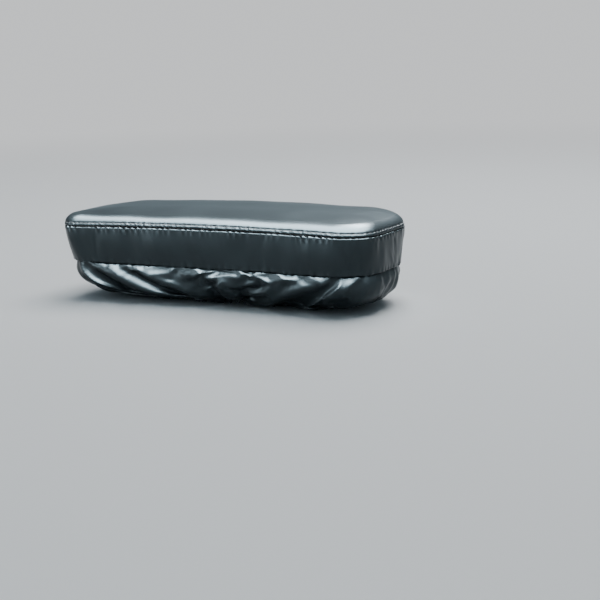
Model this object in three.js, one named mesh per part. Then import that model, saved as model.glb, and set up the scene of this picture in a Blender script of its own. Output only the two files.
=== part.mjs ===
// Slip-on chair armrest pad: a boxed foam cushion in glossy leathercloth, with an elastic-hemmed
// skirt that wraps under the chair's own armrest. Millimetres, +Z up, +X towards the chair's front,
// +Y towards the seat. The origin is under the middle of the pad, at the lowest edge of the hem.
import * as THREE from 'three';
import { LoftGeometry } from 'three/addons/geometries/LoftGeometry.js';
import { mergeVertices } from 'three/addons/utils/BufferGeometryUtils.js';

// Overall form
const padLength = 274;
const padWidth = 110;
const skirtDrop = 31.5; // hem to lower seam
const bandHeight = 29.5; // lower seam to upper seam
const shoulderRadius = 9; // rounded rim of the top panel, seen in plan
const shoulderRise = 7.4;
const crownRise = 4; // gentle dome inside the rim
const crownReach = 42; // how far in from the seam the dome still rises
const archDrop = 2; // the upper seam sinks towards the two ends

// Plan outline at the upper seam
const frontSlant = 9; // the front end leans forward towards the seat side
const innerBelly = 12; // the seat side bows out
const outerWaist = 4; // the outer side draws in
const frontBow = 3;
const rearBow = 2;
const outerRearRadius = 16;
const outerFrontRadius = 24;
const innerFrontRadius = 38;
const innerRearRadius = 42;

// The lower seam lies inside the upper one
const taperSides = 2;
const taperRear = 3;
const taperFront = 1;
const taperRounding = 5; // added to every corner radius
const bandBulge = 1;

// Materials and sewing
const leather = 1.2;
const liningThickness = 0.8;
const clearance = 0.3; // between pieces that touch in the real pad
const allowance = 8; // leather turned in past a seam
const seamThread = 0.6;
const topThread = 0.5;
const topstitchInset = 2.4; // along the leather, from the upper seam
const topstitchDepth = 0.7;
const topstitchGroove = 1.5; // width of the dent that the stitches pull in
const foldOverhang = 1.2; // the band's lower fold hangs this far past the seam
const liningGap = 2.5; // from the band's turned-in edge to where the lining drops
const liningDropRun = 2.4; // how far inwards that drop reaches

// Foam
const supportFoamHeight = 14;

// Skirt and hem
const skirtInset = 1.2; // widest place of the skirt, in from the band's lower edge
const skirtBulgeDrop = 10; // widest place of the skirt, below the lower seam
const skirtRound = 15; // rounding under the armrest, seen in plan
const undersideHeight = 4.4;
const mouthLength = 128;
const mouthWidth = 60;
const mouthForward = 5;
const hemSlope = 0.38;
const elasticWidth = 6;
const elasticThickness = 1;
const hemWidth = elasticWidth + 2 * (leather + clearance); // the fold that holds the elastic
const hemStitchShare = 0.75; // where the hem's stitches run, as a share of its width
const undersideDip = 0.3; // the skirt sinks this much halfway to the mouth

// Mesh steps
const longSideSteps = 10;
const endSteps = 4;
const cornerSteps = 5;
const threadSides = 6;
const weldDistance = 1e-4;

// Levels
const lowerSeam = skirtDrop;
const upperSeam = skirtDrop + bandHeight;
const seamGap = seamThread + 2 * clearance; // open crease that holds the seam thread
const seamHalf = seamGap / 2 + clearance / 3;
const crownBase = upperSeam + seamGap / 2;
const foamSplit = lowerSeam + supportFoamHeight;
const archStart = foamSplit + clearance; // the support foam's flat top stays flat
const seatFace = lowerSeam - seamHalf - leather - clearance;

function cornerPoints(low) {
  const side = low ? taperSides : 0;
  const rear = -padLength / 2 + (low ? taperRear : 0);
  const front = padLength / 2 - (low ? taperFront : 0);
  const outer = -padWidth / 2 + side;
  const inner = padWidth / 2 - innerBelly - side;
  const corner = (x, y, radius, bow, steps) => ({
    at: new THREE.Vector2(x, y),
    radius: radius + (low ? taperRounding : 0),
    bow,
    steps,
  });
  return [
    corner(rear, outer, outerRearRadius, -outerWaist, longSideSteps),
    corner(front - frontSlant, outer, outerFrontRadius, frontBow, endSteps),
    corner(front, inner, innerFrontRadius, innerBelly, longSideSteps),
    corner(rear, inner, innerRearRadius, rearBow, endSteps),
  ];
}

// A bowed side runs from each corner to the next.
function sideCurve(from, to) {
  const middle = from.at.clone().lerp(to.at, 0.5);
  const outward = new THREE.Vector2(to.at.y - from.at.y, from.at.x - to.at.x).normalize();
  return new THREE.QuadraticBezierCurve(from.at, middle.addScaledVector(outward, 2 * from.bow), to.at);
}

// Closed plan outline, anticlockwise from the outer side: bowed sides joined by round corners.
function planOutline(low) {
  const roundHandle = 0.5523; // cubic handle of a quarter circle, as a share of its radius
  const corners = cornerPoints(low);
  const next = (k) => (k + 1) % corners.length;
  const sides = corners.map((corner, k) => sideCurve(corner, corners[next(k)]));
  const lengths = sides.map((side) => side.getLength());
  const points = [];
  sides.forEach((side, k) => {
    const end = corners[next(k)];
    const start = corners[k].radius / lengths[k];
    const stop = 1 - end.radius / lengths[k];
    for (let s = 0; s < corners[k].steps; s++) {
      points.push(side.getPoint(THREE.MathUtils.lerp(start, stop, s / corners[k].steps)));
    }
    const onward = sides[next(k)];
    const resume = end.radius / lengths[next(k)];
    const a = side.getPoint(stop);
    const d = onward.getPoint(resume);
    const b = a.clone().addScaledVector(side.getTangent(stop), roundHandle * end.radius);
    const c = d.clone().addScaledVector(onward.getTangent(resume), -roundHandle * end.radius);
    const bend = new THREE.CubicBezierCurve(a, b, c, d);
    for (let s = 0; s < cornerSteps; s++) {
      points.push(bend.getPoint(s / cornerSteps));
    }
  });
  return points;
}

const upperOutline = planOutline(false);
const lowerOutline = planOutline(true);
const spineHalf = padLength / 2 - padWidth / 2;
const CORE = Infinity;
const coreShare = 0.8; // of the way from the outline to the spine

// A point of the pad's body: around the outline, in from its outer face, at a height. An inset of
// CORE lies near the pad's lengthwise spine.
function bodyPoint(around, [inset, z]) {
  const share = THREE.MathUtils.clamp((z - lowerSeam) / bandHeight, 0, 1);
  const rim = lowerOutline[around].clone().lerp(upperOutline[around], share);
  const spine = new THREE.Vector2(THREE.MathUtils.clamp(rim.x, -spineHalf, spineHalf), 0);
  const inward = spine.clone().sub(rim).normalize();
  const above = THREE.MathUtils.clamp((z - archStart) / (upperSeam - archStart), 0, 1);
  const arch = archDrop * above * (rim.x / (padLength / 2)) ** 2;
  const bulge = bandBulge * Math.sin(Math.PI * share);
  const distance = inset === CORE ? coreShare * rim.distanceTo(spine) : inset - bulge;
  rim.addScaledVector(inward, distance);
  return new THREE.Vector3(rim.x, rim.y, z - arch);
}

// A point near the hem: out from the edge of the oval mouth, at a height.
function mouthPoint(around, [outward, z]) {
  const rim = lowerOutline[around];
  const angle = Math.atan2(rim.y / padWidth, rim.x / padLength);
  const half = [mouthLength / 2, mouthWidth / 2];
  const normal = new THREE.Vector2(Math.cos(angle) / half[0], Math.sin(angle) / half[1]).normalize();
  const x = mouthForward + half[0] * Math.cos(angle) + outward * normal.x;
  const y = half[1] * Math.sin(angle) + outward * normal.y;
  return new THREE.Vector3(x, y, z);
}

// The top panel's curve: along 0 to 1 is the round rim, 1 to 2 the dome. Depth is measured inwards.
function crownLine(along) {
  const angle = (Math.min(along, 1) * Math.PI) / 2;
  const reach = Math.max(along - 1, 0) * (crownReach - shoulderRadius);
  const inset = shoulderRadius * (1 - Math.cos(angle)) + reach;
  const dome = 1 - (1 - Math.min(inset / crownReach, 1)) ** 2;
  return new THREE.Vector2(inset, crownBase + shoulderRise * Math.sin(angle) + crownRise * dome);
}

function crown(along, depth) {
  const nudge = 0.001;
  const here = crownLine(along);
  const tangent = along > 0 ? crownLine(along + nudge).sub(here).normalize() : new THREE.Vector2(0, 1);
  const inset = along < 2 ? here.x + tangent.y * depth : CORE;
  return [inset, here.y - tangent.x * depth];
}

function crownRun(from, to, steps, depth) {
  return Array.from({ length: steps + 1 }, (_, k) => crown(from + ((to - from) * k) / steps, depth));
}

// Skins a closed solid from a profile carried round the outline. A domed profile is drawn together at
// the pad's middle at both ends, and any other closes on itself.
function carried(profile, domed, pointAt = bodyPoint) {
  const ring = (station) => lowerOutline.map((_, around) => pointAt(around, station));
  const middle = ([, z]) => lowerOutline.map(() => new THREE.Vector3(0, 0, z));
  const rings = profile.map(ring);
  if (domed) {
    rings.unshift(middle(profile[0]));
    rings.push(middle(profile.at(-1)));
  } else {
    rings.push(ring(profile[0]));
  }
  return closedSolid(new LoftGeometry(rings));
}

// One closed body: shared corners merged, collapsed triangles dropped, faces pointing out.
function closedSolid(loft) {
  const skin = new THREE.BufferGeometry().copy(loft);
  skin.deleteAttribute('normal');
  skin.deleteAttribute('uv');
  const solid = mergeVertices(skin, weldDistance);
  const corners = [];
  for (let k = 0; k < solid.index.count; k += 3) {
    const triangle = [0, 1, 2].map((n) => solid.index.getX(k + n));
    if (new Set(triangle).size === 3) {
      corners.push(...triangle);
    }
  }
  solid.setIndex(corners);
  if (signedVolume(solid) < 0) {
    solid.index.array.reverse();
  }
  solid.computeVertexNormals();
  return solid;
}

function signedVolume(geometry) {
  const { position } = geometry.attributes;
  const [a, b, c] = [new THREE.Vector3(), new THREE.Vector3(), new THREE.Vector3()];
  let total = 0;
  for (let k = 0; k < geometry.index.count; k += 3) {
    [a, b, c].forEach((v, n) => v.fromBufferAttribute(position, geometry.index.getX(k + n)));
    total += a.dot(b.cross(c)) / 6;
  }
  return total;
}

function threadRing([across, z], diameter, pointAt = bodyPoint) {
  const section = Array.from({ length: threadSides }, (_, k) => {
    const turn = (2 * Math.PI * k) / threadSides;
    return [across + (diameter / 2) * Math.cos(turn), z + (diameter / 2) * Math.sin(turn)];
  });
  return carried(section, false, pointAt);
}

// Where the turned-in allowance ends on the rim's curve
const rimArc = (Math.PI / 2) * shoulderRadius;
const allowanceEnd = allowance / rimArc;
const topstitchAt = topstitchInset / rimArc;
const panelTurn = leather + clearance;
const bandTurn = 2 * panelTurn;
const foamUnderTurns = 3 * panelTurn;
const stepAlong = (2 * clearance) / rimArc;
const foldRoot = 0.06; // where the turned-in edge leaves the seam
const shoulderTop = 0.8; // last station of the rim before the dome
const domeHalfway = 1.5;

// Top panel: domed skin with a stitched groove, its edge folded under itself past the upper seam.
function topPanel() {
  const grooveHalf = topstitchGroove / 2 / rimArc;
  return carried(
    [
      ...crownRun(2, 1, 2, 0),
      ...crownRun(shoulderTop, topstitchAt + grooveHalf, 2, 0),
      crown(topstitchAt, topstitchDepth),
      crown(topstitchAt - grooveHalf, 0),
      crown(0, 0),
      crown(0, panelTurn + leather),
      ...crownRun(foldRoot, allowanceEnd, 2, panelTurn + leather),
      ...crownRun(allowanceEnd, foldRoot, 2, panelTurn),
      ...crownRun(foldRoot, 1, 4, leather),
      ...crownRun(domeHalfway, 2, 1, leather),
    ],
    true,
  );
}

// Side band: upright wall whose upper edge turns in under the top panel and whose lower edge is folded
// double, then turned in over the lining.
function sideBand() {
  const wallTop = upperSeam - seamGap / 2;
  const foldBottom = lowerSeam - foldOverhang;
  const turnBottom = lowerSeam + seamHalf;
  const turnEnd = 2 * leather + allowance;
  return carried(
    [
      [0, foldBottom],
      [0, lowerSeam + bandHeight / 4],
      [0, lowerSeam + bandHeight / 2],
      [0, upperSeam - bandHeight / 4],
      [0, wallTop],
      [bandTurn, wallTop],
      ...crownRun(0, allowanceEnd, 3, bandTurn),
      ...crownRun(allowanceEnd, 0, 3, bandTurn + leather),
      [bandTurn + leather, wallTop - leather],
      [leather, wallTop - leather],
      [leather, upperSeam - bandHeight / 4],
      [leather, lowerSeam + bandHeight / 2],
      [leather, lowerSeam + bandHeight / 4],
      [leather, turnBottom + leather],
      [turnEnd, turnBottom + leather],
      [turnEnd, turnBottom],
      [2 * leather, turnBottom],
      [2 * leather, foldBottom],
    ],
    false,
  );
}

const foamInset = leather + clearance;
const turnInEnd = 2 * leather + allowance;
const liningStep = turnInEnd + liningGap;
const liningTop = lowerSeam + liningThickness / 2;
const seatTop = seatFace + liningThickness;

// Comfort foam: upper layer, domed, with a rebate that takes the turned-in edges.
function comfortFoam() {
  const shoulder = upperSeam - seamGap / 2 - leather - clearance;
  return carried(
    [
      [CORE, foamSplit + clearance / 2],
      [foamInset, foamSplit + clearance / 2],
      [foamInset, upperSeam - bandHeight / 4],
      [foamInset, shoulder],
      [foamUnderTurns, shoulder],
      ...crownRun(0, allowanceEnd + stepAlong, 2, foamUnderTurns),
      ...crownRun(allowanceEnd + 2 * stepAlong, 1, 1, foamInset),
      ...crownRun(domeHalfway, 2, 1, foamInset),
    ],
    true,
  );
}

// Support foam: lower layer, rebated over the band's turned-in edge, its middle reaching the lining.
function supportFoam() {
  const overTurn = lowerSeam + seamHalf + leather + clearance;
  return carried(
    [
      [CORE, seatTop + clearance],
      [liningStep + liningDropRun + clearance, seatTop + clearance],
      [liningStep + clearance, liningTop + clearance],
      [turnInEnd + clearance, liningTop + clearance],
      [turnInEnd + clearance, overTurn],
      [foamInset, overTurn],
      [foamInset, foamSplit - clearance / 2],
      [CORE, foamSplit - clearance / 2],
    ],
    true,
  );
}

// Bottom lining: its rim is sewn between band and skirt, and its flat middle rests on the armrest.
function bottomLining() {
  const rim = 3 * leather + seamThread + clearance / 3;
  return carried(
    [
      [CORE, seatTop],
      [liningStep + liningDropRun, seatTop],
      [liningStep, liningTop],
      [rim, liningTop],
      [rim, liningTop - liningThickness],
      [liningStep - clearance, liningTop - liningThickness],
      [liningStep + liningDropRun - clearance, seatFace],
      [CORE, seatFace],
    ],
    true,
  );
}

const hemFace = (outward) => hemSlope * (outward - leather / 2);
const undersideInset = skirtInset + skirtRound;

// Stations of the skirt: a body station, a mouth station and the share of the way between them.
const onBody = (inset, z) => ({ body: [inset, z], mouth: [0, z], share: 0 });
const onMouth = (outward, above) => {
  const z = hemFace(outward) + above;
  return { body: [0, z], mouth: [outward, z], share: 1 };
};

function skirtPoint(around, { body, mouth, share }) {
  return bodyPoint(around, body).lerp(mouthPoint(around, mouth), share);
}

// The skirt's rounding from its widest place to the underside, at a depth into the leather.
function skirtRounding(depth) {
  const steps = 4;
  const top = lowerSeam - skirtBulgeDrop;
  return Array.from({ length: steps + 1 }, (_, k) => {
    const angle = (Math.PI / 2) * (k / steps);
    const inset = skirtInset + skirtRound * (1 - Math.cos(angle)) + depth * Math.cos(angle);
    return onBody(inset, top - (top - undersideHeight) * Math.sin(angle) + depth * Math.sin(angle));
  });
}

function undersideMiddle(depth) {
  const z = undersideHeight - undersideDip + depth;
  return { body: [undersideInset, z], mouth: [hemWidth + leather, z], share: 0.5 };
}

// Skirt: top edge turned in under the lining, bulging wall, underside, and a hem folded over the elastic.
function skirt() {
  const turnTop = lowerSeam - seamHalf;
  const turnStart = 2 * leather + clearance;
  const casing = 2 * leather + elasticThickness + 2 * clearance;
  return carried(
    [
      onBody(turnStart, turnTop),
      onBody(turnStart, lowerSeam - foldOverhang - clearance),
      ...skirtRounding(0),
      undersideMiddle(0),
      onMouth(hemWidth + leather, 0),
      onMouth(leather / 2, 0),
      { body: [0, leather], mouth: [0, leather], share: 1 },
      { body: [0, casing - leather], mouth: [0, casing - leather], share: 1 },
      onMouth(leather / 2, casing),
      onMouth(hemWidth, casing),
      onMouth(hemWidth, casing - leather),
      onMouth(leather, casing - leather),
      onMouth(leather, leather),
      onMouth(hemWidth + leather, leather),
      undersideMiddle(leather),
      ...skirtRounding(leather).reverse(),
      onBody(turnStart + leather, turnTop - leather),
      onBody(turnStart + allowance, turnTop - leather),
      onBody(turnStart + allowance, turnTop),
    ],
    false,
    skirtPoint,
  );
}

// Elastic: flat band lying inside the hem's fold.
function hemElastic() {
  const start = leather + clearance;
  const bottom = leather + clearance;
  return carried(
    [
      onMouth(start, bottom),
      onMouth(start + elasticWidth, bottom),
      onMouth(start + elasticWidth, bottom + elasticThickness),
      onMouth(start, bottom + elasticThickness),
    ],
    false,
    skirtPoint,
  );
}

function hemThread() {
  const row = hemWidth * hemStitchShare;
  const below = clearance + seamThread / 2;
  return threadRing([row, hemFace(row) - below], seamThread, mouthPoint);
}

function topstitchThread() {
  return threadRing(crown(topstitchAt, topstitchDepth - clearance - topThread / 2), topThread);
}

const upperSeamThread = () => threadRing([leather + seamThread / 2, upperSeam], seamThread);
const lowerSeamThread = () => threadRing([3 * leather, lowerSeam], seamThread);

const leathercloth = { color: 0x14181b, roughness: 0.28, metalness: 0 };
const blackThread = { color: 0x101214, roughness: 0.6, metalness: 0 };
const pieces = [
  ['top_panel', topPanel, leathercloth],
  ['side_band', sideBand, leathercloth],
  ['skirt', skirt, leathercloth],
  ['comfort_foam', comfortFoam, { color: 0xe9e2c8, roughness: 0.95, metalness: 0 }],
  ['support_foam', supportFoam, { color: 0x6d7278, roughness: 0.95, metalness: 0 }],
  ['bottom_lining', bottomLining, { color: 0x1b1d20, roughness: 0.9, metalness: 0 }],
  ['hem_elastic', hemElastic, { color: 0x202124, roughness: 0.8, metalness: 0 }],
  ['topstitch_thread', topstitchThread, blackThread],
  ['upper_seam_thread', upperSeamThread, blackThread],
  ['lower_seam_thread', lowerSeamThread, blackThread],
  ['hem_thread', hemThread, blackThread],
];

const group = new THREE.Group();
pieces.forEach(([name, makeGeometry, look]) => {
  const mesh = new THREE.Mesh(makeGeometry(), new THREE.MeshStandardMaterial(look));
  mesh.name = name;
  group.add(mesh);
});

// The outline's waist and slant leave its box off centre, so the group stands over the box's middle.
const middle = new THREE.Box3().setFromObject(group).getCenter(new THREE.Vector3());
group.position.set(-middle.x, -middle.y, 0);

export default group;
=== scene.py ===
import math
from contextlib import contextmanager

import bmesh
import bpy
import numpy as np
from bpy.props import FloatProperty, FloatVectorProperty, IntProperty, PointerProperty
from bpy.types import Operator, Panel, PropertyGroup
from mathutils import Matrix, Vector


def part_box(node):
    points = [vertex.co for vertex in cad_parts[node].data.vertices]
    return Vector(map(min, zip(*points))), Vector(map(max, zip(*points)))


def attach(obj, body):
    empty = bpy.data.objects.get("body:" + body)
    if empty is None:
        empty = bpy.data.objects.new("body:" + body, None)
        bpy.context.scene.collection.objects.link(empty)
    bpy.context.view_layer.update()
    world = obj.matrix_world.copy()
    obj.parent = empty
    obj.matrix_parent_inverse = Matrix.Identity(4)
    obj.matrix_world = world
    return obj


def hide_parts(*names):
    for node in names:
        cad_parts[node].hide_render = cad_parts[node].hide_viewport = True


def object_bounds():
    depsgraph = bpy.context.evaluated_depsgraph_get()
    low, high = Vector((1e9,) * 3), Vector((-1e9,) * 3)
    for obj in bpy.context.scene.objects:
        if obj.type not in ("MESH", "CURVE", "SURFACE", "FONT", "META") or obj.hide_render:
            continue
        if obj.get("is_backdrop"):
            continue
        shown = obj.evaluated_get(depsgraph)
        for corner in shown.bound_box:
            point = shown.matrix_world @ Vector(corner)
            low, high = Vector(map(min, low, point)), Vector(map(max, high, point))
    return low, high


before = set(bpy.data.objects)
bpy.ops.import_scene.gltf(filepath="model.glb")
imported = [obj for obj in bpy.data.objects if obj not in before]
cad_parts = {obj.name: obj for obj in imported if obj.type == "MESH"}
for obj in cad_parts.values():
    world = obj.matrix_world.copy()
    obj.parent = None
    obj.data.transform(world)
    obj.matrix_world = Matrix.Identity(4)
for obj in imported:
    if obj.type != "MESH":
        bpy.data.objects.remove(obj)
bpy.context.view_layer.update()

bl_info = {
    "name": "Slip-on Armrest Pad",
    "version": (1, 0, 0),
    "blender": (4, 5, 0),
    "location": "View3D > Sidebar > Armrest Pad",
    "description": "Builds a leathercloth armrest pad with an elastic-hemmed skirt",
    "category": "Object",
}

BODY = "root"
MM = 0.001


def box_middle(node):
    """The middle of a CAD node's box."""
    low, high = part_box(node)
    return (low + high) / 2


LOWER_SEAM = box_middle("lower_seam_thread").z
UPPER_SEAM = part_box("upper_seam_thread")[1].z - 0.3 * MM
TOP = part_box("top_panel")[1].z
FOLD_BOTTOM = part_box("side_band")[0].z
LINING_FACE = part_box("bottom_lining")[0].z
HEM_MIDDLE = box_middle("hem_elastic")
HEM_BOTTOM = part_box("hem_elastic")[0].z

ARCH_START = LOWER_SEAM + 14.3 * MM  # the rings are level up to here
UPPER_THREAD_INSET = 1.5 * MM  # the upper seam's thread, in from the outer face
LOWER_THREAD_INSET = 3.6 * MM
HEM_CASING = 2.8 * MM  # height of the fold that holds the elastic

STATIONS = 840  # round the top panel, the side band and the seams
LINING_STATIONS = 480
SKIRT_STATIONS = 400  # round the skirt's strip while it settles
SKIRT_ROWS = 28  # from the strip's seam to its hem
SKIRT_MESH_STATIONS = 312  # round the finished skirt

SURROUND = (0.18, 0.23, 0.26)
BACKDROP = (0.80, 0.82, 0.84)
CEILING_PLACE, CEILING_SIZE, CEILING_WATTS = (0.2, 0.6, 1.9), (1.6, 1.6), 43
GLOSS_AIM = (0, 0, 0.05)
GLOSS_TINT = (0.86, 0.95, 1.0)
# Lights that only the gloss shows: name, place, size, watts
GLOSS_LIGHTS = (
    ("gloss_overhead", (0.15, -0.34, 1.0), (2.1, 1.4), 720),
    ("gloss_corner", (0.16, 0.5, 1.0), (0.55, 0.45), 75),
    ("gloss_side", (-0.75, -1.15, 0.85), (1.3, 0.8), 9),
    ("gloss_rear", (-1.25, -1.05, 0.12), (0.7, 0.22), 9.0),
    ("gloss_back", (0.9, 1.8, 0.6), (1.5, 0.8), 0.7),
)
FLOOR_SIZE = 40.0
FADE_START, FADE_END = 0.25, 2.2  # distances over which the floor fades out
CAMERA_PLACE = (0.4257, -0.7976, 0.1938)
CAMERA_WAY = (-0.4126, 0.8848, -0.2164)
CAMERA_ROLL = math.radians(1.6)
CAMERA_LENS, CAMERA_SENSOR = 67.8, 36.0


# Sizes and colours that a user would change


def length(name, default, description):
    """A length property, in metres."""
    return FloatProperty(
        name=name,
        description=description,
        default=default,
        unit="LENGTH",
        subtype="DISTANCE",
        precision=5,
    )


def colour(name, default, description):
    """A colour property."""
    return FloatVectorProperty(
        name=name,
        description=description,
        default=default,
        size=3,
        min=0.0,
        max=1.0,
        subtype="COLOR",
    )


def share(name, default, low, high, description):
    """A plain number between two limits."""
    return FloatProperty(name=name, description=description, default=default, min=low, max=high)


def whole(name, default, low, high, description):
    """A whole number between two limits."""
    return IntProperty(name=name, description=description, default=default, min=low, max=high)


class ArmrestPadShape(PropertyGroup):
    """The cushion's outline and section."""

    length: length("Length", 0.274, "Rear to front at the upper seam")
    width: length("Width", 0.110, "Across the seat direction at the upper seam")
    front_slant: length("Front Slant", 0.009, "How far the front leans on the seat side")
    inner_belly: length("Inner Belly", 0.012, "How far the seat side bows out")
    outer_waist: length("Outer Waist", 0.004, "How far the outer side draws in")
    front_bow: length("Front Bow", 0.003, "How far the front end bows out")
    rear_bow: length("Rear Bow", 0.002, "How far the rear end bows out")
    outer_rear_radius: length("Outer Rear Radius", 0.016, "Rear corner, outer side")
    outer_front_radius: length("Outer Front Radius", 0.024, "Front corner, outer side")
    inner_front_radius: length("Inner Front Radius", 0.038, "Front corner, seat side")
    inner_rear_radius: length("Inner Rear Radius", 0.042, "Rear corner, seat side")
    taper_sides: length("Side Taper", 0.002, "Lower seam in from the upper one, sides")
    taper_rear: length("Rear Taper", 0.003, "Lower seam in from the upper one, rear")
    taper_front: length("Front Taper", 0.001, "Lower seam in from the upper one, front")
    taper_rounding: length("Lower Rounding", 0.005, "Added to the lower corner radii")
    arch_drop: length("Arch Drop", 0.002, "The upper seam sinks towards the ends")
    band_bulge: length("Band Bulge", 0.001, "The side band swells at mid height")
    shoulder_radius: length("Shoulder Radius", 0.009, "Rounded rim, seen in plan")
    shoulder_rise: length("Shoulder Rise", 0.0074, "Height of the rounded rim")
    crown_reach: length("Crown Reach", 0.042, "How far in from the seam the dome rises")
    leather: length("Leather", 0.0012, "Thickness of the leathercloth")
    allowance: length("Allowance", 0.008, "Leather turned in past a seam")


class ArmrestPadSewing(PropertyGroup):
    """Stitches, creases and puckers."""

    stitch_pitch: length("Stitch Pitch", 0.0042, "From one stitch to the next")
    stitch_gap: length("Stitch Gap", 0.0009, "Leather showing between two stitches")
    thread: length("Thread", 0.0005, "Thickness of the thread")
    topstitch_inset: length("Topstitch Inset", 0.0024, "In from the upper seam")
    topstitch_dent: length("Topstitch Dent", 0.00045, "How deep the stitches pull in")
    pucker: length("Pucker", 0.00035, "Height of the small puckers along the seams")
    wrinkle: length("Wrinkle", 0.0007, "Height of the soft wrinkles in the band")
    hem_pitch: length("Hem Stitch Pitch", 0.0045, "Along the flat leather, one zigzag")
    seed: whole("Seed", 5, 0, 1000, "Picks the puckers")


class ArmrestPadSkirt(PropertyGroup):
    """The gathered skirt and its hem."""

    mouth_length: length("Mouth Length", 0.128, "Along the pad, hem drawn in")
    mouth_width: length("Mouth Width", 0.060, "Across the pad, hem drawn in")
    hem_width: length("Hem Width", 0.009, "The fold that holds the elastic")
    elastic_width: length("Elastic Width", 0.006, "Width of the elastic")
    elastic_thickness: length("Elastic Thickness", 0.001, "Thickness of the elastic")
    leather: length("Skirt Leather", 0.0009, "Thickness of the skirt's leathercloth")
    bulge_drop: length("Bulge Drop", 0.006, "Widest place below the lower seam")
    rounding: length("Rounding", 0.018, "Turn under the armrest, seen in plan")
    rear_taper: length("Rear Taper", 0.022, "Extra turn under the armrest's rear end")
    inset: length("Inset", 0.0, "Widest place of the skirt, in from the band")
    slack: share("Slack", 1.10, 1.0, 1.5, "Height of the strip, of the way to the mouth")
    ease: share("Ease", 0.06, 0.0, 0.3, "Spare length eased into the lower seam")
    pressure: share("Pressure", 2.6, 0.0, 20.0, "Air that keeps the gathers round")
    gathers: whole("Gathers", 46, 8, 120, "Small pleats that the elastic draws into the hem")
    draw_frames: whole("Draw Frames", 34, 5, 200, "Frames in which the elastic draws in")
    settle_frames: whole("Settle Frames", 16, 0, 200, "Frames of rest after that")
    seed: whole("Seed", 3, 0, 1000, "Picks the gathers")


class ArmrestPadColours(PropertyGroup):
    """Colours of the materials."""

    leather: colour("Leathercloth", (0.0050, 0.0072, 0.0086), "Black with a cold tint")
    thread: colour("Thread", (0.020, 0.022, 0.026), "Sewing thread")
    comfort_foam: colour("Comfort Foam", (0.80, 0.74, 0.56), "Upper foam layer")
    support_foam: colour("Support Foam", (0.16, 0.18, 0.20), "Lower foam layer")
    lining: colour("Lining", (0.016, 0.017, 0.020), "Woven lining under the foam")
    elastic: colour("Elastic", (0.030, 0.031, 0.034), "Elastic in the hem")
    floor: colour("Floor", (0.80, 0.81, 0.82), "Studio floor")


# Outline and rings


def bezier(points, count):
    """Points along a Bezier curve of any degree, the last one left out."""
    t = np.linspace(0.0, 1.0, count, endpoint=False)[:, None]
    layer = [np.asarray(p, float) + 0.0 * t for p in points]
    while len(layer) > 1:
        layer = [a + (b - a) * t for a, b in zip(layer, layer[1:])]
    return layer[0]


def bezier_at(points, t):
    """(point, unit direction) of a quadratic Bezier curve."""
    a, b, c = points
    place = (1 - t) ** 2 * a + 2 * t * (1 - t) * b + t * t * c
    way = (1 - t) * (b - a) + t * (c - b)
    return place, way / np.linalg.norm(way)


def closed_run(line):
    """(a line with its first point again at its end, the distance to each point along it)"""
    closed = np.vstack([line, line[:1]])
    steps = np.linalg.norm(np.diff(closed, axis=0), axis=1)
    return closed, np.concatenate([[0], np.cumsum(steps)])


def at_runs(closed, run, wanted):
    """The points at the wanted distances along a line."""
    return np.stack([np.interp(wanted, run, c) for c in closed.T], axis=1)


def evenly(points, count):
    """A closed line's points, spaced evenly along it."""
    closed, run = closed_run(points)
    return at_runs(closed, run, np.linspace(0, run[-1], count, endpoint=False))


def girth_of(ring):
    """The length of a closed ring."""
    return np.linalg.norm(ring - np.roll(ring, 1, axis=0), axis=1).sum()


def plan_outline(shape, low, count):
    """The closed plan outline at the upper or lower seam, anticlockwise from the outer side."""
    round_handle = 0.5523
    part = 240
    taper = 1.0 if low else 0.0
    rear = -shape.length / 2 + taper * shape.taper_rear
    front = shape.length / 2 - taper * shape.taper_front
    outer = -shape.width / 2 + taper * shape.taper_sides
    inner = shape.width / 2 - shape.inner_belly - taper * shape.taper_sides
    places = np.array(
        [(rear, outer), (front - shape.front_slant, outer), (front, inner), (rear, inner)]
    )
    bows = [-shape.outer_waist, shape.front_bow, shape.inner_belly, shape.rear_bow]
    radii = np.array(
        [
            shape.outer_rear_radius,
            shape.outer_front_radius,
            shape.inner_front_radius,
            shape.inner_rear_radius,
        ]
    )
    radii = radii + taper * shape.taper_rounding
    sides = []
    for k in range(4):
        a, b = places[k], places[(k + 1) % 4]
        outward = np.array([b[1] - a[1], a[0] - b[0]])
        outward = outward / np.linalg.norm(outward)
        sides.append((a, (a + b) / 2 + 2 * bows[k] * outward, b))
    runs = [np.linalg.norm(np.diff(bezier(s, part), axis=0), axis=1).sum() for s in sides]
    points = []
    for k in range(4):
        onward = (k + 1) % 4
        start, stop = radii[k] / runs[k], 1 - radii[onward] / runs[k]
        points += [bezier_at(sides[k], t)[0] for t in np.linspace(start, stop, part, False)]
        a, leaving = bezier_at(sides[k], stop)
        d, arriving = bezier_at(sides[onward], radii[onward] / runs[onward])
        reach = round_handle * radii[onward]
        points += list(bezier([a, a + leaving * reach, d - arriving * reach, d], part))
    return evenly(np.array(points), count)


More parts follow.
